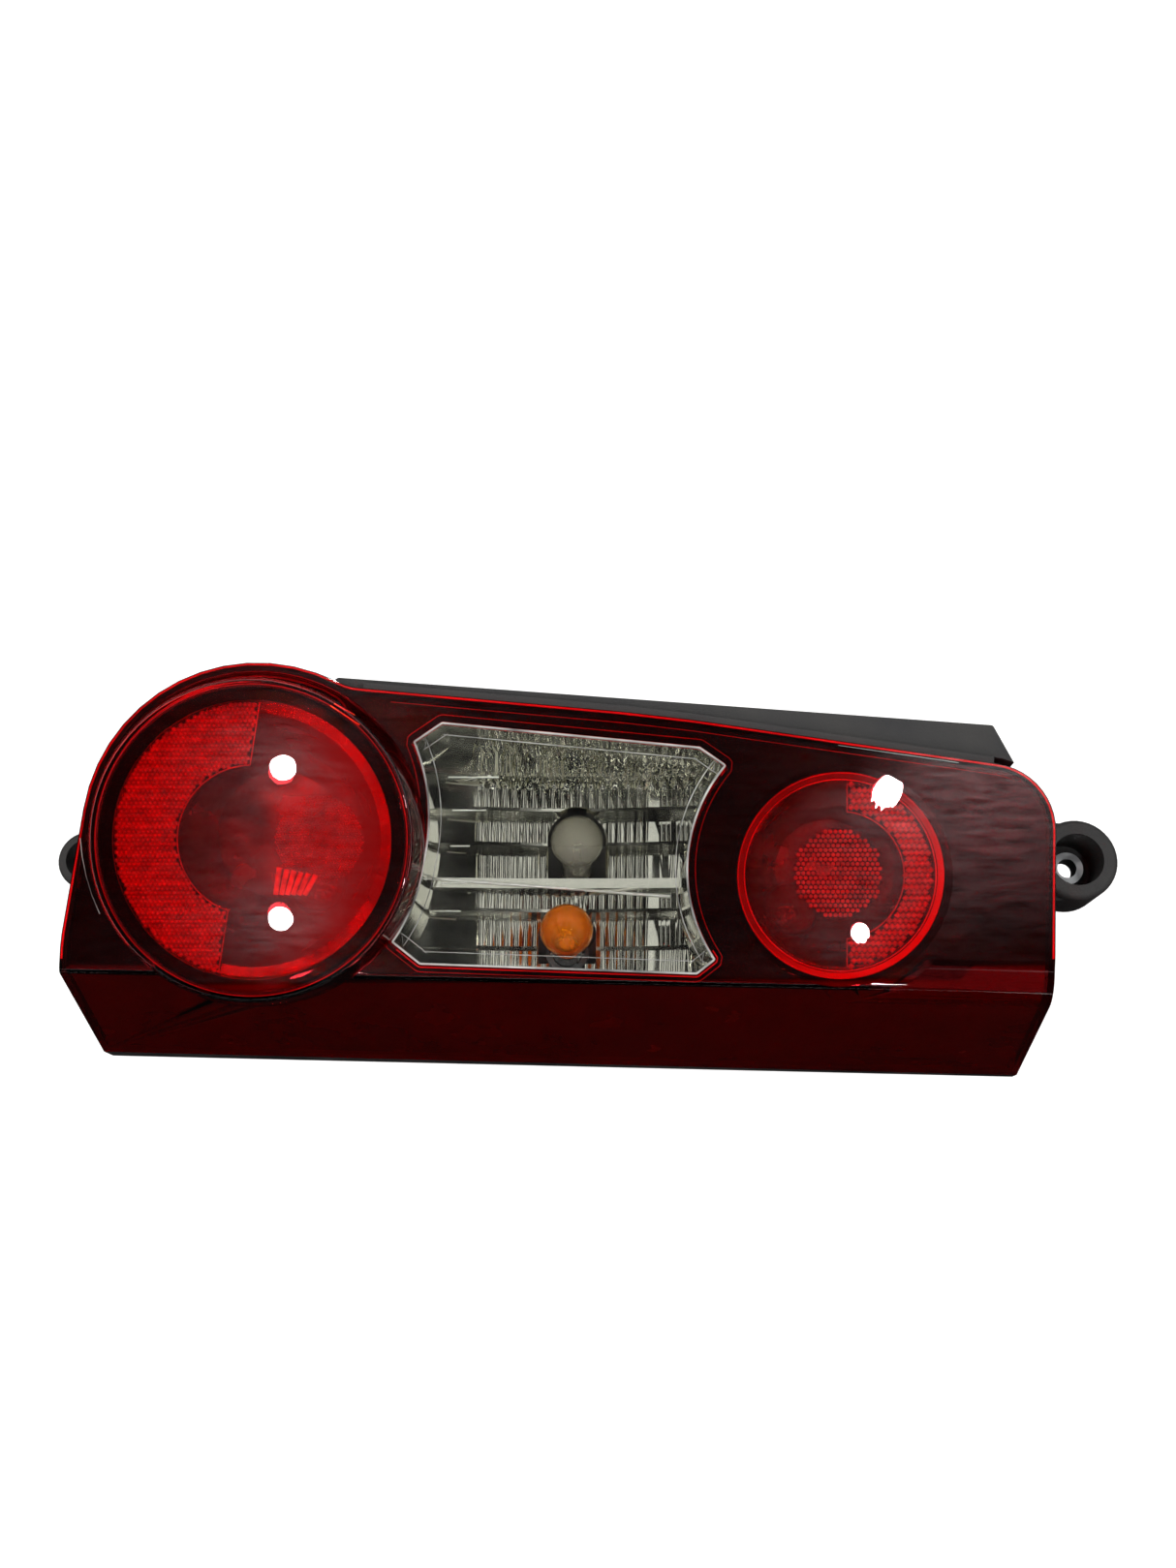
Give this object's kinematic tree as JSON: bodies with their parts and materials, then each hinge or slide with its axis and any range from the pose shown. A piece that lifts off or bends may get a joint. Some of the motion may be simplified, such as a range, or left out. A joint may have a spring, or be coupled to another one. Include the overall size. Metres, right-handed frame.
{
  "type": "tail light cluster",
  "caption": "Rear lamp cluster with a red wrap-round lens, raised round drum, clear waisted window over a stepped reflector, black housing, screw ears, and a rear bulb carrier.",
  "frame": {"origin": "middle of the outside box, at the height of the rear seat", "axes": "+X along the cluster towards the small light's end, +Z out of the lens along the draw of the mouldings, +Y towards the inboard edge"},
  "size_m": [0.5436, 0.18, 0.1694],
  "materials": {
    "housing_plastic": "fine grain, satin",
    "red_lens": "polished, deep red, clear moulding",
    "clear_lens": "polished",
    "mask_plastic": "gloss black",
    "red_optic": "moulded prisms",
    "red_reflector": "vacuum metallised",
    "metallised": "vacuum metallised, fluted",
    "carrier_plastic": "as moulded",
    "seal_rubber": "closed-cell foam",
    "screw_steel": "zinc plated",
    "contact_brass": "stamped strip",
    "bulb_glass": "clear glass",
    "amber_glass": "amber glass",
    "bulb_metal": "nickel plated",
    "sleeve_steel": "zinc plated"
  },
  "bodies": {
    "root": {"housing": "housing_plastic", "outer_lens": "red_lens", "window_lens": "clear_lens", "mask": "mask_plastic", "large_inner_lens": "red_optic", "small_inner_lens": "red_optic", "large_reflector": "red_reflector", "small_reflector": "red_reflector", "window_reflector": "metallised", "bulb_carrier": "carrier_plastic", "carrier_seal": "seal_rubber", "carrier_screws": "screw_steel", "contact_strips": "contact_brass", "connector_shroud": "housing_plastic", "connector_pins": "contact_brass", "stop_bulb_glass": "bulb_glass", "stop_bulb_cap": "bulb_metal", "stop_bulb_mount": "bulb_metal", "reverse_bulb_glass": "bulb_glass", "reverse_bulb_cap": "bulb_metal", "reverse_bulb_mount": "bulb_metal", "indicator_bulb_glass": "amber_glass", "indicator_bulb_cap": "bulb_metal", "indicator_bulb_mount": "bulb_metal", "fog_bulb_glass": "bulb_glass", "fog_bulb_cap": "bulb_metal", "fog_bulb_mount": "bulb_metal", "sleeve_left": "sleeve_steel", "sleeve_right": "sleeve_steel", "body_gasket": "seal_rubber", "vent_cap": "carrier_plastic"}
  },
  "joints": []
}
